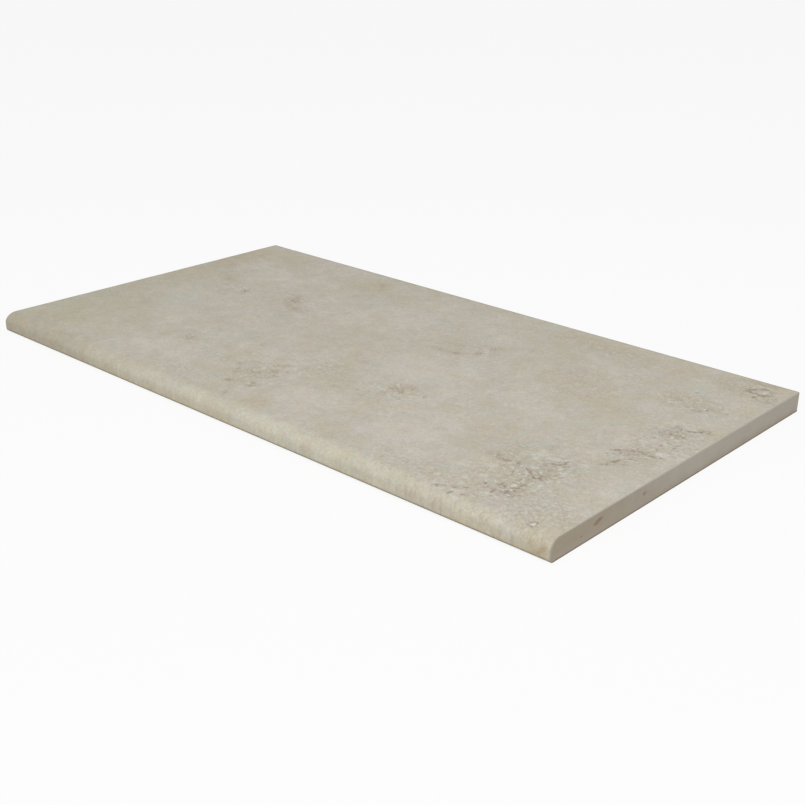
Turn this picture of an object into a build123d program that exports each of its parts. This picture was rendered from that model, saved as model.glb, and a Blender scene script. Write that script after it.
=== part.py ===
from build123d import *
import os

# A porcelain pool coping: one pressed and fired slab with a bullnose ground along one long edge.
# It lies flat as it is laid, nose towards -Y, walking face up, all sizes in millimetres.
# The origin is the middle of the bed face, on the plane that the slab lies on.

# Overall size of the slab.
LENGTH = 609.6
WIDTH = 330.2
THICKNESS = 17.0

# The bullnose: a flattened round from the walking face down to a short upright face,
# and a small round from there under to the bed.
NOSE_TOP_DEPTH = 11.5
NOSE_TOP_DROP = 8.5
NOSE_LOWER_RADIUS = 4.0

# Small bevel ground along every cut edge: both ends and the back.
ARRIS = 0.6

# Keying relief pressed into the bed: square pockets between raised ribs, inside a plain border.
POCKET_SIZE = 20.0
POCKET_DEPTH = 0.8
POCKET_DRAFT_DEG = 40.0
RIB_WIDTH = 6.0
BORDER_WIDTH = 14.0
NOSE_LAND_WIDTH = 24.0


def section():
    """Cross-section of the slab in the YZ plane, nose on the left."""
    nose_y = -WIDTH / 2
    back_y = WIDTH / 2
    top_round_end = (nose_y + NOSE_TOP_DEPTH, THICKNESS)
    upright_top = (nose_y, THICKNESS - NOSE_TOP_DROP)
    upright_foot = (nose_y, NOSE_LOWER_RADIUS)
    bed_start = (nose_y + NOSE_LOWER_RADIUS, 0)
    top_round = EllipticalCenterArc(
        center=(nose_y + NOSE_TOP_DEPTH, THICKNESS - NOSE_TOP_DROP),
        x_radius=NOSE_TOP_DEPTH,
        y_radius=NOSE_TOP_DROP,
        start_angle=90,
        arc_size=90,
    )
    lower_round = CenterArc(
        center=(nose_y + NOSE_LOWER_RADIUS, NOSE_LOWER_RADIUS),
        radius=NOSE_LOWER_RADIUS,
        start_angle=180,
        arc_size=90,
    )
    outline = [
        top_round,
        Line(upright_top, upright_foot),
        lower_round,
        Polyline(bed_start, (back_y, 0), (back_y, THICKNESS), top_round_end),
    ]
    return Plane.YZ * make_face(Curve() + outline)


def bullnosed_blank():
    """The slab before its bed is keyed, with its cut edges bevelled."""
    blank = extrude(section(), amount=LENGTH / 2, both=True)
    end_outlines = blank.faces().filter_by(Axis.X).edges()
    back_edges = blank.faces().sort_by(Axis.Y)[-1].edges().filter_by(Axis.X)
    return chamfer(end_outlines + back_edges, ARRIS)


def count_between(span, size, gap):
    """How many pieces of a size fit in a span with a gap between neighbours."""
    return int((span + gap) // (size + gap))


def keying_pockets():
    """The square pockets of the bed relief, drafted so that the press lets go."""
    pitch = POCKET_SIZE + RIB_WIDTH
    field_start = -WIDTH / 2 + NOSE_LAND_WIDTH
    field_end = WIDTH / 2 - BORDER_WIDTH
    columns = count_between(LENGTH - 2 * BORDER_WIDTH, POCKET_SIZE, RIB_WIDTH)
    rows = count_between(field_end - field_start, POCKET_SIZE, RIB_WIDTH)
    field_middle = Pos(0, (field_start + field_end) / 2, 0)
    pocket = extrude(
        Rectangle(POCKET_SIZE, POCKET_SIZE), amount=POCKET_DEPTH, taper=POCKET_DRAFT_DEG
    )
    return [field_middle * place * pocket for place in GridLocations(pitch, pitch, columns, rows)]


def coping_slab():
    """The whole coping as one solid."""
    return bullnosed_blank() - keying_pockets()


os.makedirs("parts", exist_ok=True)
slab = coping_slab()
slab.label = "coping_slab"
export_step(slab, "parts/coping_slab.step")
print("solids", len(slab.solids()), "volume", round(slab.volume), "faces", len(slab.faces()))
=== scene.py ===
import logging
import math
from collections.abc import Iterable
from dataclasses import dataclass
from enum import Enum
from typing import Any

import bmesh
import bpy
from mathutils import Euler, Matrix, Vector, noise


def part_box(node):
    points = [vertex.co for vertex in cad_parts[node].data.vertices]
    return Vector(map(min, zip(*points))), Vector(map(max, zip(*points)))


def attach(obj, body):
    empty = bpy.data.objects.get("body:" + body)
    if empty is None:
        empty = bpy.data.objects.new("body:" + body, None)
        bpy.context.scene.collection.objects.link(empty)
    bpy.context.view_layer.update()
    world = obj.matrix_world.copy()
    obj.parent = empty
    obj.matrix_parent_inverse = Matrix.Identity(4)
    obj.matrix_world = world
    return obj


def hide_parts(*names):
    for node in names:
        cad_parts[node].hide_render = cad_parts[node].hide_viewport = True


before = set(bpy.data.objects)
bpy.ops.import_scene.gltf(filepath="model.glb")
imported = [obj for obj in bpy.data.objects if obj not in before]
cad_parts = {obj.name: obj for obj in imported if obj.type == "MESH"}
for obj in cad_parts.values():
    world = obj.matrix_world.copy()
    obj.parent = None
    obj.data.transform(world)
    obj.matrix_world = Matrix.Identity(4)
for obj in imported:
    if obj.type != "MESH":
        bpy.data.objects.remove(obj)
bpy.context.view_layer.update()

# A porcelain pool coping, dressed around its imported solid, in the part's own frame: nose towards -Y,
# walking face up, bed on the plane z = 0. Lengths are metres, but for the layout of the print, the
# sizes of its noises and the relief of its grain, which are millimetres.

SLAB_NODE = "coping_slab"
SLAB_BODY = "root"
MM = 0.001
TOLERANCE = 1e-6
LOG = logging.getLogger("pool_coping")

Colour = tuple[float, float, float, float]
Point = tuple[float, float]
Place = tuple[float, float, float]
Socket = bpy.types.NodeSocket

WHITE: Colour = (1.0, 1.0, 1.0, 1.0)


def srgb(red: float, green: float, blue: float) -> Colour:
    """Turns a colour as a screen shows it into the linear one that shaders take, by the sRGB curve.

    Args:
        red: Level of red, 0 to 255.
        green: Level of green, 0 to 255.
        blue: Level of blue, 0 to 255.

    Returns:
        The linear colour, opaque.
    """
    levels = [level / 255 for level in (red, green, blue)]
    linear = [v / 12.92 if v <= 0.04045 else ((v + 0.055) / 1.055) ** 2.4 for v in levels]
    return (linear[0], linear[1], linear[2], 1.0)


def spaced(start: float, stop: float, gap: float) -> list[float]:
    """Divides a span evenly.

    Args:
        start: Where the span starts.
        stop: Where it stops, which may be below the start.
        gap: The widest step allowed.

    Returns:
        The places from start to stop, both included.
    """
    steps = max(1, math.ceil(abs(stop - start) / gap - TOLERANCE))
    return [start + (stop - start) * i / steps for i in range(steps + 1)]


@dataclass(frozen=True)
class Patch:
    """An oval mark of the print, in millimetres, its length turned from +X in degrees."""

    x: float
    y: float
    length: float
    width: float
    strength: float = 1.0
    turn: float = 0.0


@dataclass(frozen=True)
class Vein:
    """A thin mark of the print that runs from point to point, in millimetres."""

    route: tuple[Point, ...]
    width: float
    strength: float = 1.0
    stretch: float = 1.7

    def patches(self) -> list[Patch]:
        """Draws each leg of the route as one long oval.

        Returns:
            The ovals, stretched so that their soft ends overlap where the legs meet.
        """
        legs = []
        for (x0, y0), (x1, y1) in zip(self.route, self.route[1:]):
            length = (math.hypot(x1 - x0, y1 - y0) + self.width) * self.stretch
            turn = math.degrees(math.atan2(y1 - y0, x1 - x0))
            middle = ((x0 + x1) / 2, (y0 + y1) / 2)
            legs.append(Patch(*middle, length, self.width * 2, self.strength, turn))
        return legs


def ovals(*rows: tuple[float, ...]) -> tuple[Patch, ...]:
    """Makes a Patch of each row, which may leave out a strength of 1 and a turn of 0."""
    return tuple(Patch(*row) for row in rows)


class Signal:
    """A number that varies over a surface: a shader socket with plain arithmetic."""

    def __init__(self, tree: "ShaderTree", socket: Socket) -> None:
        """Keeps the socket, and the tree that its Math nodes go into."""
        self.tree = tree
        self.socket = socket

    def __add__(self, other: "Signal | float") -> "Signal":
        """The sum."""
        return self.tree.maths("ADD", self, other)

    __radd__ = __add__

    def __sub__(self, other: "Signal | float") -> "Signal":
        """The difference."""
        return self.tree.maths("SUBTRACT", self, other)

    def __rsub__(self, other: float) -> "Signal":
        """The difference from a plain number."""
        return self.tree.maths("SUBTRACT", other, self)

    def __mul__(self, other: "Signal | float") -> "Signal":
        """The product."""
        return self.tree.maths("MULTIPLY", self, other)

    __rmul__ = __mul__

    def __abs__(self) -> "Signal":
        """The distance from nought."""
        return self.tree.maths("ABSOLUTE", self)

    def over(self, other: "Signal | float") -> "Signal":
        """The larger of the two."""
        return self.tree.maths("MAXIMUM", self, other)

    def rise(self, low: float, high: float) -> "Signal":
        """Eases from 0 to 1 as the signal goes from low to high, or down again where low is higher.

        Args:
            low: The signal's value where the result is 0.
            high: Its value where the result is 1.

        Returns:
            The eased signal, kept between 0 and 1.
        """
        values = {"Value": self, "From Min": low, "From Max": high}
        if low > high:
            values = {**values, "From Min": high, "From Max": low, "To Min": 1.0, "To Max": 0.0}
        eased = self.tree.node("ShaderNodeMapRange", {"interpolation_type": "SMOOTHSTEP"}, values)
        return Signal(self.tree, eased.outputs[0])


class ShaderTree:
    """The nodes of one material, or of the world."""

    seed_step: Place = (0.37, 0.71, 0.13)
    usual_stray: float = 0.25
    specular: float = 0.25

    def __init__(self, owner: bpy.types.Material | bpy.types.World) -> None:
        """Empties the owner's node tree and keeps it.

        Args:
            owner: The material or world that the nodes are for.
        """
        owner.use_nodes = True
        self.nodes = owner.node_tree.nodes
        self.links = owner.node_tree.links
        self.nodes.clear()

    def node(
        self, kind: str, settings: dict[str, Any], values: dict[str | int, Any]
    ) -> bpy.types.Node:
        """Adds one node.

        Args:
            kind: The node's type, such as ShaderNodeMath.
            settings: Its own settings, such as a Math node's operation.
            values: What its sockets get, by name or number: a value, a Signal or another socket.

        Returns:
            The node, set and linked.
        """
        made = self.nodes.new(kind)
        for name, setting in settings.items():
            setattr(made, name, setting)
        for key, value in values.items():
            source = value.socket if isinstance(value, Signal) else value
            if isinstance(source, Socket):
                self.links.new(source, made.inputs[key])
            else:
                made.inputs[key].default_value = source
        return made

    def maths(self, operation: str, *operands: Signal | float) -> Signal:
        """Adds a Math node for an expression on values."""
        made = self.node("ShaderNodeMath", {"operation": operation}, dict(enumerate(operands)))
        return Signal(self, made.outputs[0])

    def vector(self, operation: str, *operands: Any) -> Socket:
        """Adds a Vector Math node, and returns its vector."""
        made = self.node("ShaderNodeVectorMath", {"operation": operation}, dict(enumerate(operands)))
        return made.outputs["Vector"]

    def mix(self, factor: Signal | float, first: Any, second: Any, way: str = "MIX") -> Socket:
        """Goes from one colour to another.

        Args:
            factor: 0 gives the first colour, 1 the second.
            first: A colour or a socket.
            second: A colour or a socket.
            way: How the second goes over the first, as Blender names it.

        Returns:
            The mixed colour.
        """
        settings = {"data_type": "RGBA", "blend_type": way}
        mixed = self.node("ShaderNodeMix", settings, {"Factor": factor, 6: first, 7: second})
        return mixed.outputs[2]

    def coated(self, colour: Any, *coats: tuple[Signal, Colour]) -> Socket:
        """Lays coats of paint over a colour, one after another.

        Args:
            colour: A colour or a socket.
            coats: Masks, 0 where a coat is missing and 1 where it covers, and their paints.

        Returns:
            The coated colour.
        """
        for mask, paint in coats:
            colour = self.mix(mask, colour, paint)
        return colour

    def tinted(self, colour: Any, swing: Signal, first: Colour, second: Colour) -> Socket:
        """Multiplies a colour by a tint, halfway between the two where the swing is nought."""
        return self.mix(1.0, colour, self.mix(0.5 + swing, first, second), "MULTIPLY")

    def place(self) -> Socket:
        """The coordinates of the piece, in metres."""
        return self.node("ShaderNodeTexCoord", {}, {}).outputs["Object"]

    def axes(self, place: Socket) -> list[Signal]:
        """The x, y and z of coordinates."""
        parts = self.node("ShaderNodeSeparateXYZ", {}, {"Vector": place})
        return [Signal(self, parts.outputs[axis]) for axis in "XYZ"]

    def flat(self, across: Signal, up: Signal) -> Socket:
        """Coordinates in a plane, with z at nought."""
        return self.node("ShaderNodeCombineXYZ", {}, {"X": across, "Y": up}).outputs[0]

    def noise(self, place: Socket, size: float, detail: float, seed: int) -> bpy.types.Node:
        """Adds a cloudy noise.

        Args:
            place: Coordinates, in metres.
            size: Breadth of its largest clouds, in millimetres.
            detail: How many times finer its finest clouds are, in octaves.
            seed: A number that sets this noise apart from the others.

        Returns:
            The node, whose Fac averages 0.5.
        """
        moved = self.vector("ADD", place, tuple(step * seed for step in self.seed_step))
        values = {"Vector": moved, "Scale": 1 / (size * MM), "Detail": detail}
        return self.node("ShaderNodeTexNoise", {}, values)

    def cloud(self, place: Socket, size: float, detail: float, seed: int) -> Signal:
        """A noise's number, which averages 0.5."""
        return Signal(self, self.noise(place, size, detail, seed).outputs["Fac"])

    def swing(self, place: Socket, size: float, detail: float, seed: int) -> Signal:
        """A noise's number less its average, so that it goes either way of nought."""
        return self.cloud(place, size, detail, seed) - 0.5

    def wander(self, place: Socket, size: float, reach: float, seed: int) -> Socket:
        """Shifts coordinates about, so that what is drawn with them gets ragged outlines.

        Args:
            place: Coordinates, in metres.
            size: Breadth of the shifts, in millimetres.
            reach: How far a point is shifted where the noise's colour strays by usual_stray from
                its middle, in millimetres.
            seed: As for noise.

        Returns:
            The shifted coordinates.
        """
        drift = self.noise(place, size, 2, seed).outputs["Color"]
        centred = self.vector("SUBTRACT", drift, (0.5, 0.5, 0.5))
        gain = reach * MM / self.usual_stray
        return self.vector("MULTIPLY_ADD", centred, (gain, gain, 0.0), place)

    def marks(self, place: Socket, patches: Iterable[Patch]) -> Signal:
        """Draws oval marks as one mask.

        Args:
            place: Coordinates on the face, in metres, with z at nought.
            patches: The marks.

        Returns:
            Each mark's strength in its middle, falling to 0 at its rim.
        """
        total = None
        for patch in patches:
            values = {
                "Vector": place,
                "Location": (patch.x * MM, patch.y * MM, 0.0),
                "Rotation": (0.0, 0.0, math.radians(patch.turn)),
                "Scale": (patch.length / 2 * MM, patch.width / 2 * MM, 1.0),
            }
            own = self.node("ShaderNodeMapping", {"vector_type": "TEXTURE"}, values).outputs[0]
            ball = self.node("ShaderNodeTexGradient", {"gradient_type": "SPHERICAL"}, {"Vector": own})
            mark = Signal(self, ball.outputs["Fac"])
            mark = mark if patch.strength == 1.0 else mark * patch.strength
            total = mark if total is None else total.over(mark)
        return total

    def finish(self, colour: Any, roughness: Any, height: Signal, relief: float) -> None:
        """Puts the fired surface together.

        Args:
            colour: The base colour.
            roughness: The roughness.
            height: The rise and fall of the finest grain, in units of relief.
            relief: What a height of 1 stands for, in millimetres.
        """
        bump_values = {"Strength": 1.0, "Distance": relief * MM, "Height": height}
        values = {
            "Base Color": colour,
            "Roughness": roughness,
            "Specular IOR Level": self.specular,
            "Normal": self.node("ShaderNodeBump", {}, bump_values).outputs[0],
        }
        fired = self.node("ShaderNodeBsdfPrincipled", {}, values)
        self.node("ShaderNodeOutputMaterial", {}, {"Surface": fired.outputs[0]})


# The layout of the stone-look print on the walking face, in millimetres. A row is x, y, length,
# width, strength and turn.

OLIVE_CLOUDS = ovals(
    (-290, -20, 120, 400, 1.3), (-250, 138, 130, 55, 0.9, -25), (-205, 112, 60, 30, 0.6, -25),
    (-125, 118, 80, 40, 0.8), (-80, 118, 60, 40, 0.7), (-255, 52, 70, 48, 1, -15),
    (2, -55, 85, 65, 0.5, -30), (28, -76, 60, 30, 0.6), (-88, -48, 60, 36, 0.8, -10),
    (-20, 34, 36, 34, 0.7), (-130, 4, 40, 30, 0.7, -60), (40, 62, 60, 46, 0.9, 40),
    (-275, -110, 220, 200, 1.6), (-170, -105, 60, 30, 0.4, -20), (212, -68, 70, 55, 0.6, -60),
    (185, -100, 50, 60, 0.4, 30), (120, 105, 60, 80, 0.6), (253, 87, 30, 26, 1.1, 30),
    (265, 71.5, 18, 18, 0.9),
)

TAN_CLOUDS = ovals(
    (-305, 85, 80, 200, 2), (304, 60, 30, 140, 0.6), (290, -150, 60, 40, 0.7), (185, -85, 80, 60, 0.9),
    (272, 162, 70, 36, 1.3), (280, 145, 80, 70, 0.45, -10), (162, 142, 150, 60, 1.2),
    (85, -105, 50, 40, 0.8), (-235, 120, 50, 20, 0.5, -30), (-122, 140, 55, 34, 0.9, -20),
    (-207, 18, 26, 22, 0.9), (160, 66, 75, 70, 0.9, 30), (196, 34, 60, 60, 0.9), (125, 85, 40, 30, 0.7),
    (225, 20, 50, 45, 0.5), (70, -85, 60, 50, 0.7, -60), (100, -135, 90, 40, 0.7),
    (15, -143, 36, 18, 0.5), (-240, -135, 120, 40, 0.3), (-40, 5, 60, 36, 0.4, 10),
    (70, 120, 60, 40, 0.4), (180, -60, 50, 40, 0.4),
)

ROSY_CLOUDS = ovals(
    (-220, 88, 150, 60, 0.9, -10), (-50, 60, 140, 60, 0.8, 30), (-250, -10, 110, 60, 0.8, -20),
    (-120, -120, 160, 60, 0.9), (60, -10, 120, 80, 1.2, 10), (115, -95, 110, 80, 0.9, -30),
    (45, -120, 100, 60, 1.1), (100, -20, 80, 70, 0.8), (130, -110, 110, 80, 1.5),
    (250, -15, 70, 60, 0.5), (150, 0, 80, 60, 0.8), (285, 60, 40, 70, 0.6), (293, -75, 50, 80, 0.8),
    (20, 130, 90, 40, 0.5),
)

COOL_PATCHES = ovals(
    (-230, -25, 90, 50, 0.9, -30), (-180, -77, 50, 18, 1, -10), (-100, -74, 34, 22, 1, -20),
    (-188, 48, 50, 34, 0.7, -40), (-160, 80, 60, 34, 0.7, -40), (-182, 10, 26, 20, 0.9),
    (80, 100, 24, 12), (120, 130, 22, 34, 0.9), (236, 107, 36, 20, 0.3, -30), (243.5, 120, 20, 16, 0.4),
    (264.5, 83.5, 10, 8), (296, 75.5, 14, 16), (130, 35, 24, 18, 0.7), (278, -95, 90, 150, 0.7),
    (150, -35, 60, 30, 0.6), (193, -46, 22, 14, 0.8, -60), (-42, -134, 40, 20, 1, -20),
    (35, -128, 30, 20, 0.7), (273.5, 122.5, 10, 8),
)

BROWN_STAINS = ovals(
    (-162, 55, 20, 7, 0.7, -10), (-151, 57, 14, 10, 0.9), (-147, 44, 40, 26, 1.15, -50),
    (-136, 31, 36, 20, 0.9, -20), (-125, 29, 32, 18, 1, -20), (-117, 34, 18, 6, 0.6, 10),
    (-201, 31, 14, 24, 1.15, 25), (-232, 33, 20, 10, 0.5), (-243, 48, 26, 22, 0.6, 30),
    (-280, 80, 36, 20, 0.6, -30), (-139, 75, 10, 9, 0.7), (-85, 53, 18, 10, 0.6, 60),
    (-92, 41, 12, 9, 0.7, 20), (-134, -88, 22, 18, 0.8), (-120, 138, 24, 16, 0.5, -40),
    (15, -26, 10, 16, 0.8), (-4, -28, 8, 16, 0.5), (10, -44, 8, 18, 0.4), (76, -50, 26, 22, 1, -40),
    (83, -41, 24, 14, 0.7, -20), (100, -48, 18, 8, 0.7, -55), (71, -66, 16, 14, 0.7),
    (88, -65, 22, 10, 0.6, -10), (61, -78, 12, 12, 0.7), (52, -74, 14, 8, 0.5, -30),
    (36, -81, 22, 10, 0.5), (-23, -91.5, 24, 14, 0.9, 40), (-26.5, -79, 22, 12, 0.9, 40),
    (-35, -105, 30, 14, 0.7, 30), (-35, -129, 26, 12, 0.7, 40), (-48, -110, 20, 12, 0.6, -60),
    (-16.5, -102, 18, 16, 0.6, 40), (-15, -123, 18, 12, 0.9, -30), (-57, -99, 16, 10, 0.6, -20),
    (-18, -148, 22, 12, 0.7), (57.5, 45.5, 18, 12, 0.9, 45), (48, 40.5, 22, 10, 0.8, 10),
    (35, 41.5, 20, 10, 0.6, -10), (68, 56, 14, 10, 0.9, 60), (72.5, 74, 22, 14, 1, 50),
    (255, 77, 14, 10, 0.8, -30), (258, 127, 20, 26, 0.5), (242.6, 85.2, 16, 14),
    (235, 84.9, 14, 12, 0.9), (271.8, 83.2, 12, 8, 1.1, 40), (267.8, 77.1, 10, 8, 1.1, 40),
    (262.4, 73.5, 10, 8, 1.1, 40), (276, 146, 40, 24, 0.65), (276, 159, 44, 14, 0.9),
    (262, 138, 90, 50, 0.45, -10), (290, 134, 30, 26, 0.5, -50), (295, 125.8, 15, 9, 1.1, 25),
    (289, 127, 6, 6, 0.8), (290, 145, 7, 18, 0.8, -20), (230, -109, 18, 16, 0.6),
    (225, -103.5, 12, 8, 0.5), (242, -64, 10, 10, 0.7), (276, 26, 34, 32, 0.9),
    (290, 42, 24, 14, 0.8, 20), (272, -24, 38, 24, 1.1, 25), (272, -45, 20, 30, 0.8, -40),
    (246, -72, 22, 24, 0.8, 45), (246, -95, 30, 46, 1.1), (226, -100, 36, 34, 0.7, -45),
    (246, -127, 40, 34, 1.25, -20), (210, -94, 34, 14, 0.8, -10), (224, -138, 30, 20, 0.4, 20),
    (206, -70, 30, 24, 0.35, -60), (204, 45, 16, 14, 0.5), (188, 45, 14, 10, 0.6, -40),
    (217, 74, 10, 8, 0.5), (245, -31, 12, 8, 0.6, -40), (292, -102, 20, 12, 0.4, 60),
)

VEINS = (
    Vein(((265.5, 141.7), (273, 139.8)), 3, 0.6),
    Vein(((273, 139.8), (278, 146.6), (282.7, 150), (287.1, 150.7)), 3.8),
    Vein(((287.1, 150.7), (293.7, 141.9)), 2.8, 0.6),
    Vein(((293.7, 141.9), (303, 131.7)), 2.8, 0.65),
    Vein(((273.5, 136.7), (280, 138.7), (285.6, 136.2), (290.3, 139.3)), 4, 1.15),
    Vein(((280.2, 36.2), (282.6, 36.6), (286.4, 38), (288.3, 42.6)), 3.2, 0.95),
    Vein(((288.3, 42.6), (290.7, 46.3), (294.1, 48.3)), 2.6, 0.6),
    Vein(((293.9, 43.9), (298, 43.8)), 2.8, 0.75),
    Vein(((268.7, 36.2), (272.9, 36.1), (276.7, 32.8)), 3, 0.8),
    Vein(((271.6, 27.3), (276, 29.3)), 3, 0.75),
    Vein(((271.7, 21.1), (275.6, 22.2), (279.6, 24.7), (283.5, 24.3)), 3, 0.75),
    Vein(((264, 21.5), (269, 19.5)), 3, 0.55),
    Vein(((282.7, -11.8), (279.9, -2.9), (279.9, 3.1), (282.9, 2.6)), 2.8, 0.6),
    Vein(((290, -4.7), (288.5, 1.5), (288, 7.5)), 2.8, 0.7),
    Vein(((258.5, -28.7), (264.6, -24.6), (268.5, -22.3), (272.9, -19.2)), 3.4, 0.85),
    Vein(((272.9, -19.2), (276.7, -18.1), (281.8, -19), (285.4, -20.5)), 3.4, 0.75),
    Vein(((285.4, -20.5), (289.1, -20.7), (293.5, -17.5)), 2.8, 0.65),
    Vein(((262.1, -32.9), (264.8, -32.8), (263.8, -28.7)), 3.2, 0.85),
    Vein(((263.6, -56.9), (266.4, -53.6), (269.6, -51)), 2.8, 0.75),
    Vein(((268, -46.5), (270.5, -43.5), (272.8, -38.8)), 3, 0.9),
    Vein(((272.8, -38.8), (275.7, -34.9), (279, -33.5), (283.2, -32.6)), 2.8, 0.75),
    Vein(((238, -80), (241.5, -76.5), (244.5, -76), (248, -73)), 2.6),
    Vein(((248, -73), (247.5, -69), (247.5, -66)), 2.4, 0.8),
    Vein(((238, -80), (242, -83.5), (245, -84)), 2.4, 0.7),
    Vein(((234.5, -95.5), (236.5, -97.5), (239, -96), (240, -100)), 2.6),
    Vein(((241.5, -101.5), (245, -103.5), (248, -102.5), (248.5, -99), (248.5, -96)), 2.6),
    Vein(((248.5, -96), (252, -96)), 2.6, 0.7),
    Vein(((240, -118), (241.5, -116.5)), 2.6, 0.9),
    Vein(((246, -119.5), (248, -115.5)), 2.6),
    Vein(((244, -125.5), (247.5, -122.5)), 2.8),
    Vein(((246.5, -127.5), (249.5, -128)), 2.6),
    Vein(((235.5, -127), (238, -127), (241, -126)), 2.8),
    Vein(((238, -135.5), (238, -140)), 2.6),
    Vein(((230.5, -138), (232, -133)), 2.4, 0.8),
    Vein(((203.5, -156.8), (209.7, -153.5), (212.1, -152.3)), 2.2, 0.72),
    Vein(((213.5, -151), (217.8, -148.4)), 2.2, 0.85),
    Vein(((220, -146.8), (225.3, -145)), 2.4, 0.95),
    Vein(((213.1, -159.7), (217.1, -159.4), (220.9, -156.6)), 2, 0.62),
    Vein(((224.2, -157.2), (229.4, -153.9)), 2.2, 0.75),
    Vein(((212, -95.5), (217, -96), (219.5, -93.5)), 3, 0.8),
    Vein(((223, -91.5), (225.5, -94.5)), 2.6, 0.7),
    Vein(((219, -103), (226, -104)), 3, 0.5),
    Vein(((226, -103), (235, -112)), 2.4, 0.6),
    Vein(((50.5, 41.2), (54.5, 42.8), (58, 46.5)), 5.2, 0.55),
    Vein(((31, 42), (38.5, 40.7), (45, 39.5), (50.5, 41.2)), 4, 0.4),
    Vein(((58, 46.5), (60, 50.5), (68, 57)), 4, 0.45),
    Vein(((70, 71), (74, 77)), 5, 0.45),
    Vein(((68, -54), (78, -48), (82, -58)), 2.8, 0.7),
    Vein(((-51.5, -105.5), (-47, -109.5), (-45, -115)), 3.6, 0.5),
    Vein(((-42, -104), (-39, -102)), 2.8, 0.75),
    Vein(((-17.5, -121.5), (-14, -119.5)), 2.8, 0.75),
    Vein(((-15, -127), (-9, -122.5)), 2.8, 0.75),
    Vein(((-39, -130), (-32, -128)), 3.2, 0.6),
    Vein(((-26, -93), (-20, -90)), 3, 0.6),
    Vein(((-16, -100), (-12, -97)), 2.8, 0.7),
    Vein(((-152, 56), (-147, 46), (-143, 40)), 3.6, 0.65),
    Vein(((-204, 36), (-199, 28)), 3, 0.65),
)

DARK_FLECKS = ovals(
    (284.3, 130, 5, 6, 1.2), (273, 28.5, 5, 3.6, 0.8), (277, 12.5, 5, 3.6, 0.6), (288.3, 6.5, 4.6, 6),
    (282.5, -26.2, 4.4, 6), (258.5, -36, 5, 5, 0.9), (261.5, -39, 4, 5, 0.8),
    (270, -43.4, 3.6, 5, 1.2, 40), (251.7, -123.8, 4, 5.6, 1.1), (241.3, -112.8, 4, 5),
    (236.2, -125.3, 4.6, 5, 1.1), (240.3, -124.2, 6, 5, 0.8), (245.1, -133, 5, 4.4, 1.1, 30),
    (248.5, -134.3, 4, 3.6, 0.7), (252, -133, 7, 5, 0.7), (240.2, -144.5, 3, 4, 0.9),
    (283.6, -155.3, 10, 7.8, 1.5, 20), (288.4, -156.2, 2.6, 4, 0.9), (286.6, -158.8, 5, 2.2, 0.9, 20),
    (275.1, -147.1, 7, 4, 0.6, 20), (230, -142.6, 4, 5, 0.9), (205.2, -156, 3.4, 3.4),
    (209.9, -153.3, 3.4, 3.4), (222.5, -145.6, 3.4, 3.4, 1.2), (218.6, -157.2, 3.4, 3.4, 0.9),
    (233.1, -143, 4, 4.4, 0.8), (227.5, -131, 4.4, 6, 1.3, 30), (225, -134.4, 3, 4, 0.9),
    (217.4, -131.8, 5, 5, 0.7), (260.9, -67.3, 6, 4, 0.6), (272.9, -59.5, 4, 4, 0.6),
    (271.1, 85.7, 7, 4, 0.7), (295, 135, 4, 5, 0.7), (247.1, 106, 4.6, 4.6),
    (237.6, 96.6, 4.6, 4.6, 0.8), (285.8, 84.5, 4.4, 6, 0.65), (284.3, 76.7, 4, 5, 0.7),
    (288.2, 106.5, 4.4, 5, 0.6), (-25.6, -109.5, 5, 6, 0.8), (-14.5, -86, 6, 6, 0.8),
    (-35.8, -77.5, 6, 6, 0.8), (-8, -156.5, 6, 5, 0.5), (303, 124.5, 4, 5, 0.7),
)

WHITE_PATCHES = ovals(
    (285.6, 143, 10, 6, 1, 38), (243.5, -121.9, 8, 8, 1.1), (245, -93.5, 9, 5, 1.1, -40),
    (244.7, -100.7, 6, 4, 1.1, -30), (236.5, -91, 14, 13, 0.7), (237.8, -70.3, 14, 10, 0.8),
    (242.8, -130.8, 6, 4, 1.1), (245.4, -127.7, 4, 4, 1.1), (247.4, -135.9, 5, 4), (238, -127.8, 4, 4),
    (237.5, -143.2, 7, 4, 1, -40), (258.8, -126, 4, 4, 0.9), (219.2, -124.3, 14, 10, 0.8),
    (212.6, -134.1, 12, 8, 0.8), (213, -108, 22, 24, 0.5, 20), (226, -71, 22, 26, 0.7),
    (196, -118, 18, 12, 0.8), (287.7, -12.7, 14, 11, 1.3, 30), (280.4, -25.4, 10, 7, 1, 40),
    (281.7, 26.5, 4, 8, 1.2), (260, -64, 12, 10, 0.8), (256, -85, 8, 40, 0.6), (256, -112, 8, 26, 0.5),
    (203, 62, 12, 12, 0.6), (3.5, -43, 12, 10, 0.6), (65.5, 38, 10, 7, 0.9, -50),
    (-17.5, -123.6, 6, 6, 0.8), (-5, -112, 6, 6), (-34, -92.5, 6, 6, 0.9), (-13.5, -76.5, 7, 7, 0.8),
    (-65.5, -75.5, 6, 7, 0.9), (265.5, 44, 7, 8, 0.9), (-8, -127, 12, 12, 0.7),
    (283.6, -155.3, 5.6, 4, 1.9, 20), (272, -154, 7, 5, 0.6), (295, -161, 4, 6, 0.4),
    (224, -161, 12, 6, 0.8), (211, -157.5, 7, 4, 0.9, 30), (216.7, -153.9, 6, 4, 1, 30),
    (221.2, -152.2, 6, 4, 1, 30), (216.7, -143.8, 8, 5, 0.8, 30),
)

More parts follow.
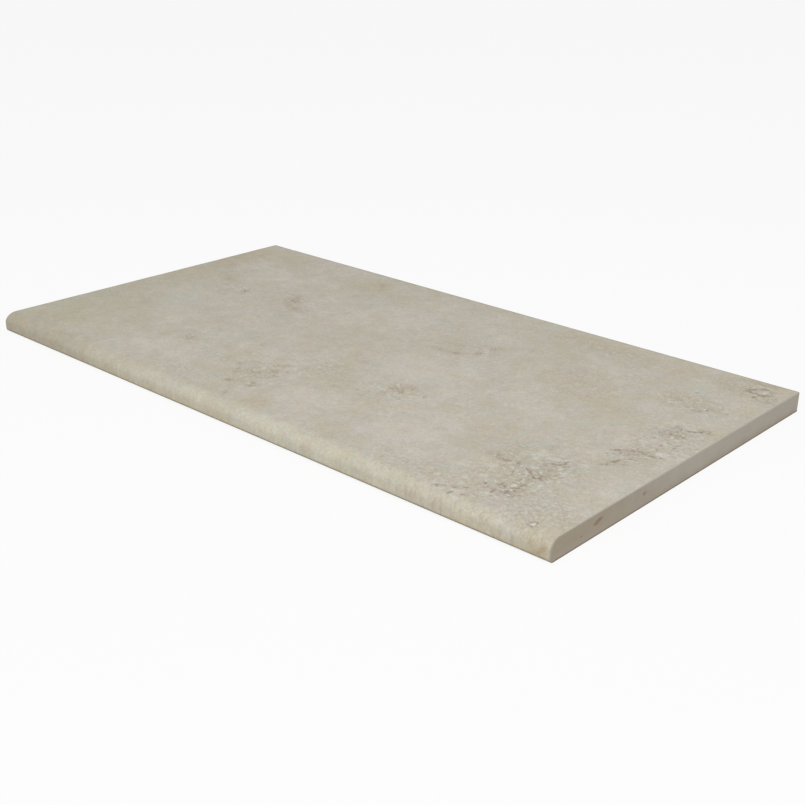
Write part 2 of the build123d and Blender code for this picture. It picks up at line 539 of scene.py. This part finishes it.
BUSY_AREAS = ovals(
    (238, -100, 110, 150), (280, 5, 70, 120), (283, 135, 70, 60, 0.55), (170, 60, 150, 120, 0.45, 20),
    (257, 82, 80, 60), (76, -55, 90, 70, 0.65, -30), (0, -55, 110, 90, 0.5, -30),
    (-30, -105, 90, 80, 0.75, -30), (60, 60, 70, 70, 0.6, 60), (190, -145, 180, 40, 0.7),
    (274, -137, 100, 90, 0.75), (-140, 40, 70, 50, 0.7, -40), (-215, 30, 60, 50, 0.8, -40),
    (-135, -85, 60, 50, 0.6), (-90, -140, 120, 40, 0.5), (140, 140, 200, 50, 0.5),
)

# Marks on the nose's front, x and z, and on the end at +X, y and z.

NOSE_RUST = ovals(
    (298.5, 8.7, 10, 5, 1.2, 45), (295.2, 5.6, 9, 5, 0.9, 40), (289, 9.5, 4, 8, 0.5),
    (283, 11, 5, 4, 0.4), (266, 4, 20, 4, 0.3),
)

END_SMUDGES = ovals(
    (-114.5, 10.9, 14, 3.8, 1.3, 14), (-112.5, 11.2, 6, 3.6, 1, 30), (-132.6, 7, 2.2, 2.2, 0.8),
    (-60, 10.5, 5, 9, 0.5, 80), (40, 7, 6, 4, 0.25),
)


@dataclass(frozen=True)
class Finish:
    """A finish of the slab, made as one material."""

    name: str

    def paint(self, tree: ShaderTree) -> None:
        """Fills the material's tree."""
        raise NotImplementedError

    def build(self) -> bpy.types.Material:
        """Makes the material.

        Returns:
            The material, painted.
        """
        material = bpy.data.materials.new(self.name)
        self.paint(ShaderTree(material))
        return material


@dataclass(frozen=True)
class GlazedPrint(Finish):
    """The fired stone-look print of the walking face, and the cream glaze that runs over the nose."""

    low: Vector
    high: Vector
    round_start: float
    stone: Colour = srgb(191, 184, 170)
    olive: Colour = srgb(184, 179, 160)
    tan: Colour = srgb(188, 179, 160)
    deep: Colour = srgb(178, 169, 149)
    rosy: Colour = srgb(198, 191, 179)
    cool: Colour = srgb(188, 186, 173)
    brown: Colour = srgb(166, 153, 133)
    vein: Colour = srgb(142, 127, 107)
    white: Colour = srgb(205, 204, 193)
    fleck: Colour = srgb(168, 158, 143)
    bright: Colour = srgb(214, 212, 201)
    cream: Colour = srgb(193, 187, 169)
    pale_cream: Colour = srgb(198, 194, 178)
    low_cream: Colour = srgb(191, 182, 158)
    far_cream: Colour = srgb(174, 165, 146)
    drip: Colour = srgb(178, 168, 150)
    # Painted shade: the dark line along the foot of the nose, where the lower round turns down towards
    # the floor.
    foot_shade: Colour = srgb(142, 130, 102)
    corner: Colour = srgb(180, 168, 146)
    rim_edge: Colour = srgb(158, 150, 132)
    rust: Colour = srgb(174, 150, 114)
    dark_grain: Colour = (0.80, 0.79, 0.77, 1.0)
    light_grain: Colour = (1.20, 1.21, 1.23, 1.0)
    warm_grain: Colour = (1.05, 1.0, 0.88, 1.0)
    cold_grain: Colour = (0.95, 1.0, 1.12, 1.0)
    green_grain: Colour = (0.965, 1.03, 0.98, 1.0)
    pink_grain: Colour = (1.035, 0.97, 1.02, 1.0)
    ripple_count: float = 15
    drip_stretch: Place = (1.0, 1.0, 0.35)
    grain_relief: float = 0.012

    def face_colour(self, tree: ShaderTree, flat: Socket, ragged: Socket) -> Socket:
        """Colours the walking face in its broad clouds.

        Args:
            tree: The material's tree.
            flat: Coordinates on the face, in metres.
            ragged: The same, shifted about by a few millimetres.

        Returns:
            The colour.
        """
        drifting = tree.wander(tree.wander(flat, 40, 9, 1), 12, 4, 2)
        broad = tree.swing(flat, 55, 5, 5)
        mottle = tree.swing(ragged, 14, 4, 6)
        grit = tree.swing(ragged, 3.6, 3, 8)
        hue = tree.swing(drifting, 50, 3, 9)
        olive = tree.marks(drifting, OLIVE_CLOUDS)
        tan = tree.marks(drifting, TAN_CLOUDS)
        rosy = tree.marks(drifting, ROSY_CLOUDS)
        tone = 0.42 * broad + 0.5 * mottle + 0.45 * grit + 0.15 * rosy - 0.18 * olive.over(tan)
        cool = tree.swing(drifting, 24, 4, 10) + 0.24 * tree.marks(drifting, COOL_PATCHES)
        return tree.coated(
            self.olive,
            ((hue + 0.3 * tan - 0.3 * olive).rise(-0.12, 0.12), self.tan),
            (tone.rise(-0.13, -0.36) * 0.8, self.deep),
            (tone.rise(-0.15, 0.01), self.stone),
            (tone.rise(0.0, 0.14), self.rosy),
            (cool.rise(0.06, 0.24) * 0.8, self.cool),
        )

    def nose_colour(
        self, tree: ShaderTree, place: Socket, flat: Socket, along: Signal, height: Signal
    ) -> Socket:
        """Colours the nose, over which the glaze has run in soft streaks, with a painted highlight on
        its upper round and painted shade along its foot.

        Args:
            tree: The material's tree.
            place: Coordinates, in metres.
            flat: Coordinates on the face, in metres, which draw out into streaks down the nose.
            along: Place along the nose, in metres.
            height: Height above the bed, in metres.

        Returns:
            The colour.
        """
        runs = tree.swing(flat, 3.2, 2, 11)
        smears = tree.swing(flat, 12, 3, 12)
        patches = tree.swing(flat, 50, 3, 13)
        drips = tree.swing(tree.vector("MULTIPLY", place, self.drip_stretch), 3.0, 3, 17)
        middle = along.rise(-0.06, 0.06) * along.rise(0.27, 0.21)
        near = along.rise(0.12, 0.25)
        far = (along + patches * 0.12).rise(-0.07, -0.25)
        turned = (along + smears * 0.03).rise(0.262, 0.300)
        low = (height + smears * 0.012).rise(0.0112, 0.0032) * (1 - 0.55 * middle)
        # Partly the glaze's own paler blotches, partly a painted highlight: paler cream on the upper
        # round of the nose, lighter from the middle towards +X.
        highlight = smears + patches * 1.2 + 0.12 * along.rise(-0.10, 0.04)
        return tree.coated(
            self.cream,
            (low, self.low_cream),
            (highlight.rise(-0.02, 0.22) * (1 - 0.7 * low) * (1 - 0.75 * near), self.pale_cream),
            (runs.rise(0.0, 0.28) * 0.5, self.low_cream),
            (far * 0.85, self.far_cream),
            (turned * 0.8, self.corner),
            (drips.rise(0.05, 0.20) * (0.2 + 0.3 * near), self.pale_cream),
            (drips.rise(-0.04, -0.20) * (0.25 + 0.45 * near), self.drip),
            # Painted shade along the foot of the nose.
            ((height + runs * 0.001).rise(0.0036, 0.0015), self.foot_shade),
        )

    def pitted(self, tree: ShaderTree, ragged: Socket, colour: Socket) -> Socket:
        """Lays the print's stains, pale pits with brown rims, veins and white lenses over the clouds.

        Args:
            tree: The material's tree.
            ragged: Coordinates on the face, shifted about by a few millimetres.
            colour: What they go over.

        Returns:
            The colour with them.
        """
        stain = tree.marks(ragged, BROWN_STAINS)
        white = tree.marks(ragged, WHITE_PATCHES)
        busy = tree.marks(ragged, BUSY_AREAS).rise(0.0, 0.7)
        veins = tree.marks(ragged, [leg for vein in VEINS for leg in vein.patches()] + [*DARK_FLECKS])
        ghosts = tree.swing(ragged, 20, 4, 15)
        pits = tree.swing(ragged, 5.2, 3, 7)
        dust = tree.swing(ragged, 2.3, 2, 16)
        flecks = tree.swing(ragged, 3.2, 2, 19)
        broken = stain - 1.5 * pits + 1.2 * dust
        pits = pits + 0.14 * white - 0.04 * stain
        rim = abs(pits - 0.040).rise(0.040, 0.004)
        bands = tree.maths("PINGPONG", tree.cloud(ragged, 13, 3, 18) * self.ripple_count, 0.5)
        ripples = bands.rise(0.30, 0.05) * dust.rise(-0.10, 0.06)
        veins = veins + 1.2 * tree.swing(ragged, 5.0, 3, 14) + 0.8 * dust
        return tree.coated(
            colour,
            (abs(ghosts).rise(0.018, 0.002) * (0.15 + 0.20 * busy), self.brown),
            (broken.rise(0.20, 1.0) * 0.5, self.brown),
            (ripples * (0.05 + 0.40 * busy.over(stain.rise(0.0, 0.6))), self.brown),
            (rim * (0.08 + 0.30 * busy), self.fleck),
            (abs(dust).rise(0.035, 0.0) * (0.05 + 0.22 * busy), self.fleck),
            (rim * stain.rise(0.05, 0.60) * 0.55, self.vein),
            (pits.rise(0.07, 0.14) * (0.10 + 0.40 * busy), self.white),
            (flecks.rise(0.06, 0.13) * (0.03 + 0.42 * busy), self.white),
            (flecks.rise(-0.06, -0.14) * (0.03 + 0.34 * busy), self.fleck),
            (veins.rise(0.30, 0.85) * 0.74, self.vein),
            ((white + 1.2 * dust).rise(0.15, 0.80) * 0.6, self.white),
            ((white + dust).rise(0.75, 1.25) * 0.8, self.bright),
        )

    def grained(self, tree: ShaderTree, place: Socket, colour: Socket) -> Socket:
        """Breaks a colour up with the fine grain of the print, light and dark, warm and cold.

        Args:
            tree: The material's tree.
            place: Coordinates, in metres.
            colour: The colour.

        Returns:
            The grained colour.
        """
        coarse = 0.30 * tree.swing(place, 7.5, 1, 22) + 0.40 * tree.swing(place, 3.0, 1, 23)
        grain = coarse + 0.80 * tree.swing(place, 1.3, 1, 24)
        fine_tint = 0.5 * tree.swing(place, 4.0, 3, 26) + 0.5 * tree.swing(place, 13, 2, 28)
        tint = fine_tint + 0.45 * tree.swing(place, 30, 2, 29)
        blush = 1.4 * tree.swing(place, 5.5, 3, 27)
        colour = tree.tinted(colour, grain, self.dark_grain, self.light_grain)
        colour = tree.tinted(colour, tint, self.cold_grain, self.warm_grain)
        return tree.tinted(colour, blush, self.green_grain, self.pink_grain)

    def paint(self, tree: ShaderTree) -> None:
        """Glazes the nose and prints the walking face, which meet past the start of the round.

        Args:
            tree: The material's tree.
        """
        place = tree.place()
        along, depth, height = tree.axes(place)
        flat = tree.flat(along, depth)
        ragged = tree.wander(tree.wander(flat, 10, 1.6, 3), 3.0, 0.8, 4)
        edge = tree.swing(place, 14, 3, 21)
        over_round = self.round_start - depth
        past_face = over_round + edge * 0.018 - along.rise(0.14, 0.26) * 0.005
        face = self.face_colour(tree, flat, ragged)
        nose = self.nose_colour(tree, place, flat, along, height)
        colour = tree.mix(past_face.rise(-0.0015, 0.0060), face, nose)
        rust = tree.marks(tree.flat(along, height + edge * 0.004), NOSE_RUST)
        rust = (rust * over_round.rise(0.006, 0.010)).rise(0.0, 0.7)
        # A darker band along the back edge and along the end at -X.
        edge_band = (depth - self.high.y).over(self.low.x - along) + edge * 0.002
        colour = tree.coated(
            self.pitted(tree, ragged, colour),
            (rust * 0.7, self.rust),
            (edge_band.rise(-0.0026, -0.0010) * 0.6, self.rim_edge),
        )
        colour = self.grained(tree, place, colour)
        tree.finish(colour, 0.62 + 0.16 * edge, tree.cloud(place, 1.1, 2, 25), self.grain_relief)


@dataclass(frozen=True)
class GroundBody(Finish):
    """The bare porcelain body where the slab was cut and ground: both ends, the back and the arrises."""

    low: Vector
    high: Vector
    body: Colour = srgb(171, 163, 151)
    low_body: Colour = srgb(163, 153, 138)
    nose_body: Colour = srgb(157, 147, 129)
    # Painted shade: the dark line along the bottom edge of the ends and the back.
    foot_shade: Colour = srgb(122, 109, 90)
    # Partly the ground arris's own paler finish, partly a painted highlight along the top edge.
    arris: Colour = srgb(173, 167, 157)
    smudge: Colour = srgb(134, 112, 92)
    speck: Colour = srgb(138, 126, 110)
    dark_grain: Colour = (0.92, 0.92, 0.915, 1.0)
    light_grain: Colour = (1.08, 1.08, 1.085, 1.0)
    grain_relief: float = 0.010

    def paint(self, tree: ShaderTree) -> None:
        """Shades the body darker towards the nose and the bed, with painted shade along the foot and a
        painted highlight on the top arris, and smudges the end at +X.

        Args:
            tree: The material's tree.
        """
        nose, top = self.low.y, self.high.z
        place = tree.place()
        along, depth, height = tree.axes(place)
        side = tree.wander(tree.flat(depth, height), 4, 0.8, 33)
        smudged = tree.marks(side, END_SMUDGES).rise(0.08, 0.45) * along.rise(0.0, 0.1)
        mottle = tree.swing(place, 12, 3, 31)
        specks = tree.swing(place, 1.2, 1, 32)
        colour = tree.coated(
            self.body,
            ((depth + mottle * 0.05).rise(nose + 0.180, nose + 0.020), self.nose_body),
            ((height + mottle * 0.006).rise(0.0080, 0.0015), self.low_body),
            (smudged * 0.8, self.smudge),
            (specks.rise(0.20, 0.30) * 0.6, self.speck),
            # Painted shade along the foot.
            (height.rise(0.0022, 0.0010), self.foot_shade),
            # The top arris lighter: its ground finish, brightened further as a painted highlight.
            (height.rise(top - 0.0008, top - 0.0004), self.arris),
        )
        grain = 0.6 * mottle + 0.8 * specks
        colour = tree.tinted(colour, grain, self.dark_grain, self.light_grain)
        tree.finish(colour, 0.72 + 0.1 * mottle, specks, self.grain_relief)


@dataclass(frozen=True)
class PressedBed(Finish):
    """The underside as it left the kiln: rough body with a dusting of pale release wash."""

    pocket_depth: float
    body: Colour = srgb(170, 161, 146)
    wash: Colour = srgb(196, 190, 178)
    # Painted shade for the pockets.
    pocket_shade: Colour = srgb(156, 146, 131)
    dark_grain: Colour = (0.88, 0.88, 0.87, 1.0)
    light_grain: Colour = (1.12, 1.12, 1.13, 1.0)
    sweep: Place = (0.25, 1.0, 1.0)
    grain_relief: float = 0.05

    def paint(self, tree: ShaderTree) -> None:
        """Washes the ribs in streaks along the slab, and darkens the pockets with painted shade.

        Args:
            tree: The material's tree.
        """
        place = tree.place()
        height = tree.axes(place)[2]
        streaks = tree.swing(tree.vector("MULTIPLY", place, self.sweep), 18, 4, 41)
        mottle = tree.swing(place, 3.5, 3, 42)
        colour = tree.coated(
            self.body,
            (streaks.rise(-0.08, 0.16) * mottle.rise(-0.20, 0.10), self.wash),
            # Painted shade in the pockets.
            (height.rise(0.2 * self.pocket_depth, self.pocket_depth) * 0.7, self.pocket_shade),
        )
        colour = tree.tinted(colour, 0.9 * mottle, self.dark_grain, self.light_grain)
        tree.finish(colour, 0.85 + 0.1 * mottle, tree.cloud(place, 1.6, 3, 43), self.grain_relief)


class Region(Enum):
    """The slab's finishes, each with its place in the mesh's list of materials."""

    GLAZE = 0
    GROUND = 1
    BED = 2


@dataclass(frozen=True)
class SectionPoint:
    """A corner of the cross-section, with its outward normal, and the finish from it to the next."""

    y: float
    z: float
    normal: Point
    region: Region


@dataclass
class CopingSlab:
    """The one fired slab: bullnose, cut ends and back, and a bed keyed with square pockets."""

    low: Vector
    high: Vector
    nose_depth: float = 11.5 * MM
    nose_drop: float = 8.5 * MM
    lower_radius: float = 4.0 * MM
    arris: float = 0.6 * MM
    pocket_size: float = 20.0 * MM
    pocket_depth: float = 0.8 * MM
    pocket_draft: float = math.radians(40.0)
    rib_width: float = 6.0 * MM
    border_width: float = 14.0 * MM
    nose_land: float = 24.0 * MM
    face_gap: float = 2.0 * MM
    station_gap: float = 2.1 * MM
    top_round_steps: int = 24
    low_round_steps: int = 10
    relief: float = 0.12 * MM
    relief_size: float = 22.0 * MM
    relief_octaves: int = 3
    relief_fade: float = 1.0
    relief_step: float = 2.0
    relief_gain: float = 0.7
    weld_distance: float = 0.006 * MM
    shade_angle: float = math.radians(25.0)

    def round_start(self) -> float:
        """The y at which the walking face turns down into the nose."""
        return self.low.y + self.nose_depth

    def pocket_middles(self, start: float, stop: float) -> list[float]:
        """Spreads the pockets of one direction over the field that they fill.

        Args:
            start: Where the field starts.
            stop: Where it stops.

        Returns:
            The middles of the pockets, evenly pitched about the field's middle.
        """
        pitch = self.pocket_size + self.rib_width
        count = int((stop - start + self.rib_width) / pitch + TOLERANCE)
        first = (start + stop) / 2 - pitch * (count - 1) / 2
        return [first + pitch * i for i in range(count)]

    def columns(self) -> list[float]:
        """The pockets' middles along the length."""
        return self.pocket_middles(self.low.x + self.border_width, self.high.x - self.border_width)

    def rows(self) -> list[float]:
        """The pockets' middles from the nose to the back."""
        return self.pocket_middles(self.low.y + self.nose_land, self.high.y - self.border_width)

    def pocket_lines(self, middles: list[float], start: float, stop: float) -> list[float]:
        """The lines that a grid needs to hold the pockets' rims and floors.

        Args:
            middles: The pockets' middles in this direction.
            start: The grid's first line.
            stop: Its last line.

        Returns:
            All the lines, in order.
        """
        rim = self.pocket_size / 2
        floor = rim - self.pocket_depth * math.tan(self.pocket_draft)
        offsets = (-rim, -floor, floor, rim)
        return [start, *(middle + offset for middle in middles for offset in offsets), stop]

    def pocket_share(self, middles: list[float], place: float) -> float:
        """How far down its pocket's wall a place is in one direction: 0 on a rib, 1 over a floor."""
        rim_distance = self.pocket_size / 2 - min(abs(place - middle) for middle in middles)
        return min(1.0, max(0.0, rim_distance / (self.pocket_depth * math.tan(self.pocket_draft))))

    def section(self) -> list[SectionPoint]:
        """Goes once round the cross-section, from the bed over the nose and the face to the back.

        Returns:
            The corners in order, the last of which joins the first.
        """
        nose, back = self.low.y, self.high.y
        bottom, top = self.low.z, self.high.z
        glaze, ground, bed = Region.GLAZE, Region.GROUND, Region.BED
        points = []
        for i in range(self.low_round_steps + 1):
            angle = math.radians(270 - 90 * i / self.low_round_steps)
            normal = (math.cos(angle), math.sin(angle))
            y = nose + self.lower_radius * (1 + normal[0])
            points.append(SectionPoint(y, bottom + self.lower_radius * (1 + normal[1]), normal, glaze))
        upright = spaced(bottom + self.lower_radius, top - self.nose_drop, self.face_gap)
        points += [SectionPoint(nose, z, (-1.0, 0.0), glaze) for z in upright[1:-1]]
        for i in range(self.top_round_steps + 1):
            angle = math.radians(180 - 90 * i / self.top_round_steps)
            y = self.round_start() + self.nose_depth * math.cos(angle)
            z = top - self.nose_drop + self.nose_drop * math.sin(angle)
            slope = Vector((math.cos(angle) / self.nose_depth, math.sin(angle) / self.nose_drop))
            points.append(SectionPoint(y, z, tuple(slope.normalized()), glaze))
        face = spaced(self.round_start(), back - self.arris, self.face_gap)
        points += [SectionPoint(y, top, (0.0, 1.0), glaze) for y in face[1:-1]]
        points.append(SectionPoint(face[-1], top, (0.0, 1.0), ground))
        sides = spaced(top - self.arris, bottom + self.arris, self.face_gap)
        points += [SectionPoint(back, z, (1.0, 0.0), ground) for z in sides]
        lines = self.pocket_lines(self.rows(), nose + self.lower_radius, back - self.arris)
        points += [SectionPoint(y, bottom, (0.0, -1.0), bed) for y in reversed(lines[1:])]
        return points

    def stations(self) -> list[float]:
        """Spaces the cross-sections along the length, between the ends' arrises.

        Returns:
            Their places in x, with one on each line of the pockets.
        """
        lines = self.pocket_lines(self.columns(), self.low.x + self.arris, self.high.x - self.arris)
        spans = [spaced(a, b, self.station_gap) for a, b in zip(lines, lines[1:])]
        return [x for span in spans for x in span[:-1]] + [lines[-1]]

    def sunk(self, x: float, point: SectionPoint) -> Vector:
        """Places a corner of the section at a station, with the relief that the press left.

        Args:
            x: The station.
            point: The corner.

        Returns:
            Its place, never outside the plain section.
        """
        place = Vector((x, point.y, point.z))
        if point.region is Region.BED:
            share = min(self.pocket_share(self.columns(), x), self.pocket_share(self.rows(), point.y))
            return place + Vector((0.0, 0.0, self.pocket_depth * share))
        if point.region is Region.GROUND:
            return place
        shape = (self.relief_fade, self.relief_step, self.relief_octaves)
        swell = noise.fractal(place / self.relief_size, *shape, noise_basis="PERLIN_ORIGINAL")
        clear_of_bed = min(1.0, point.z / self.lower_radius)
        share = min(1.0, max(0.0, 0.5 + self.relief_gain * swell))
        return place - Vector((0.0, *point.normal)) * self.relief * clear_of_bed * share

    def cut_end(self, x: float, point: SectionPoint) -> Vector:
        """Places a corner of the section on an end face, inside that end's arris."""
        inset = Vector((0.0, *point.normal)) * self.arris
        return Vector((x, point.y, point.z)) - inset

    def shell(self) -> tuple[list[Vector], list[tuple[int, ...]], list[Region]]:
        """Builds the closed skin of the slab.

        Returns:
            Its corners, its faces as runs of corners, and the finish of each face.
        """
        section = self.section()
        count = len(section)
        rings = [[self.cut_end(self.low.x, point) for point in section]]
        rings += [[self.sunk(x, point) for point in section] for x in self.stations()]
        rings.append([self.cut_end(self.high.x, point) for point in section])
        corners = [corner for ring in rings for corner in ring]
        last = len(rings) - 1
        faces = [tuple(range(count)), tuple(range(last * count, (last + 1) * count))]
        regions = [Region.GROUND, Region.GROUND]
        for i in range(last):
            on_arris = i in (0, last - 1)
            for j, point in enumerate(section):
                k = (j + 1) % count
                quad = (i * count + j, i * count + k, (i + 1) * count + k, (i + 1) * count + j)
                region = Region.GROUND if on_arris else point.region
                parts = self.mitred(quad, corners) if region is Region.BED else [quad]
                faces += parts
                regions += [region] * len(parts)
        return corners, faces, regions

    def mitred(self, quad: tuple[int, ...], corners: list[Vector]) -> list[tuple[int, ...]]:
        """Splits a face of the bed at a pocket's corner, so that its two walls meet in a mitre.

        Args:
            quad: The face's four corners.
            corners: The places of all corners.

        Returns:
            Two triangles at a pocket's corner, and elsewhere the face as it is.
        """
        halfway = self.low.z + self.pocket_depth / 2
        deep = [n for n, index in enumerate(quad) if corners[index].z > halfway]
        if len(deep) != 1:
            return [quad]
        a, b, c, d = (quad[(deep[0] + n) % 4] for n in range(4))
        return [(a, b, c), (a, c, d)]

    def build(self, name: str) -> bpy.types.Object:
        """Makes the slab's mesh, closed and with crisp arrises.

        Args:
            name: What the piece is called.

        Returns:
            The piece, undressed.
        """
        corners, faces, regions = self.shell()
        mesh = bpy.data.meshes.new(name)
        mesh.from_pydata(corners, [], faces)
        mesh.polygons.foreach_set("material_index", [region.value for region in regions])
        mesh.polygons.foreach_set("use_smooth", [region is not Region.BED for region in regions])
        weld_and_face_outwards(mesh, self.weld_distance, self.shade_angle)
        piece = bpy.data.objects.new(name, mesh)
        bpy.context.scene.collection.objects.link(piece)
        return piece

    def dress(self, piece: bpy.types.Object) -> None:
        """Gives the piece its three finishes, in the order of Region.

        Args:
            piece: The slab's mesh object.
        """
        finishes = (
            GlazedPrint("glazed_print", self.low, self.high, self.round_start()),
            GroundBody("ground_body", self.low, self.high),
            PressedBed("pressed_bed", self.pocket_depth),
        )
        for finish in finishes:
            piece.data.materials.append(finish.build())


def weld_and_face_outwards(mesh: bpy.types.Mesh, distance: float, shade_angle: float) -> None:
    """Joins corners that fall together, turns the faces outwards and marks the crisp edges.

    Args:
        mesh: The mesh.
        distance: Corners nearer than this are one.
        shade_angle: Faces that turn more than this meet in a crisp edge.
    """
    work = bmesh.new()
    work.from_mesh(mesh)
    bmesh.ops.remove_doubles(work, verts=work.verts, dist=distance)
    bmesh.ops.recalc_face_normals(work, faces=work.faces)
    for edge in work.edges:
        edge.smooth = edge.is_manifold and edge.calc_face_angle(0.0) < shade_angle
    work.to_mesh(mesh)
    work.free()


@dataclass(frozen=True)
class Studio:
    """A plain pale floor, a white surround and one large soft lamp."""

    floor_radius: float = 14.0
    floor_drop: float = 0.2 * MM
    floor_corners: int = 64
    floor_colour: Colour = (0.80, 0.80, 0.80, 1.0)
    floor_whiteness: float = 0.88
    ambient: float = 0.52
    lamp_size: float = 1.5
    lamp_power: float = 27.8
    lamp_aim: Place = (0.15, -0.08, 0.0)
    lamp_distance: float = 2.1
    lamp_direction: Place = (0.40, -0.50, 0.77)

    def seen(self, tree: ShaderTree) -> Signal:
        """Tells what the camera sees from light that falls on things.

        Args:
            tree: The tree of the floor's material or the world.

        Returns:
            1 where it is seen, straight on or in a reflection, and else 0.
        """
        rays = tree.node("ShaderNodeLightPath", {}, {})
        names = ("Is Camera Ray", "Is Glossy Ray", "Is Transmission Ray")
        straight, mirrored, through = (Signal(tree, rays.outputs[name]) for name in names)
        return straight.over(mirrored).over(through)

    def floor(self) -> bpy.types.Object:
        """Lays the floor, which shows white but keeps the slab's shadow.

        Returns:
            The floor.
        """
        turns = [math.tau * i / self.floor_corners for i in range(self.floor_corners)]
        circle = [Vector((math.cos(turn), math.sin(turn), 0.0)) for turn in turns]
        drop = Vector((0.0, 0.0, self.floor_drop))
        rim = [spoke * self.floor_radius - drop for spoke in circle]
        mesh = bpy.data.meshes.new("floor")
        mesh.from_pydata(rim, [], [tuple(range(self.floor_corners))])
        material = bpy.data.materials.new("studio_floor")
        tree = ShaderTree(material)
        paint = tree.node("ShaderNodeBsdfDiffuse", {}, {"Color": self.floor_colour})
        glow = tree.node("ShaderNodeEmission", {}, {"Strength": 1.0})
        whiteness = self.seen(tree) * self.floor_whiteness
        parts = {0: whiteness, 1: paint.outputs[0], 2: glow.outputs[0]}
        both = tree.node("ShaderNodeMixShader", {}, parts)
        tree.node("ShaderNodeOutputMaterial", {}, {"Surface": both.outputs[0]})
        mesh.materials.append(material)
        floor = bpy.data.objects.new("floor", mesh)
        bpy.context.scene.collection.objects.link(floor)
        return floor

    def surround(self) -> bpy.types.World:
        """Makes the world white to look at, and a plain soft fill to be lit by.

        Returns:
            The world.
        """
        world = bpy.data.worlds.new("studio_surround")
        tree = ShaderTree(world)
        strength = self.ambient + (1 - self.ambient) * self.seen(tree)
        light = tree.node("ShaderNodeBackground", {}, {"Color": WHITE, "Strength": strength})
        tree.node("ShaderNodeOutputWorld", {}, {"Surface": light.outputs[0]})
        bpy.context.scene.world = world
        return world

    def lamp(self) -> bpy.types.Object:
        """Hangs the soft lamp, turned to the slab.

        Returns:
            The lamp.
        """
        data = bpy.data.lights.new("soft_lamp", "AREA")
        data.shape = "SQUARE"
        data.size = self.lamp_size
        data.energy = self.lamp_power
        lamp = bpy.data.objects.new("soft_lamp", data)
        towards = Vector(self.lamp_direction).normalized()
        lamp.location = Vector(self.lamp_aim) + towards * self.lamp_distance
        lamp.rotation_euler = towards.to_track_quat("Z", "Y").to_euler()
        bpy.context.scene.collection.objects.link(lamp)
        return lamp


@dataclass(frozen=True)
class StudioCamera:
    """The photograph's camera, solved from the slab's outline, for a square picture."""

    aim: Place = (0.0953, -0.0682, 0.0170)
    azimuth: float = 42.02
    elevation: float = 22.65
    roll: float = 0.82
    distance: float = 0.93605
    lens: float = 55.08
    sensor: float = 36.0
    clip_start: float = 0.01

    def build(self) -> bpy.types.Object:
        """Makes the camera and gives it to the scene.

        Returns:
            The camera.
        """
        data = bpy.data.cameras.new("studio_camera")
        data.sensor_width = self.sensor
        data.lens = self.lens
        data.clip_start = self.clip_start
        camera = bpy.data.objects.new("studio_camera", data)
        turn, lift = math.radians(self.azimuth), math.radians(self.elevation)
        level = Euler((math.pi / 2 - lift, 0.0, turn)).to_matrix()
        camera.location = Vector(self.aim) + level.col[2] * self.distance
        rolled = level @ Euler((0.0, 0.0, math.radians(self.roll))).to_matrix()
        camera.rotation_euler = rolled.to_euler()
        bpy.context.scene.collection.objects.link(camera)
        bpy.context.scene.camera = camera
        return camera


def report(piece: bpy.types.Object) -> None:
    """Logs what a piece measures."""
    size = ", ".join(f"{side / MM:.1f}" for side in piece.dimensions)
    LOG.info("%s: %s mm, %d faces", piece.name, size, len(piece.data.polygons))


def main() -> None:
    """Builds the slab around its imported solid, and the studio and camera around the slab."""
    logging.basicConfig(level=logging.INFO, format="%(name)s %(message)s")
    bpy.context.scene.view_settings.view_transform = "Standard"
    StudioCamera().build()
    studio = Studio()
    studio.surround()
    studio.lamp()
    report(studio.floor())
    slab = CopingSlab(*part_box(SLAB_NODE))
    piece = slab.build("glazed_coping")
    slab.dress(piece)
    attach(piece, SLAB_BODY)
    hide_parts(SLAB_NODE)
    report(piece)


if __name__ == "__main__":
    main()
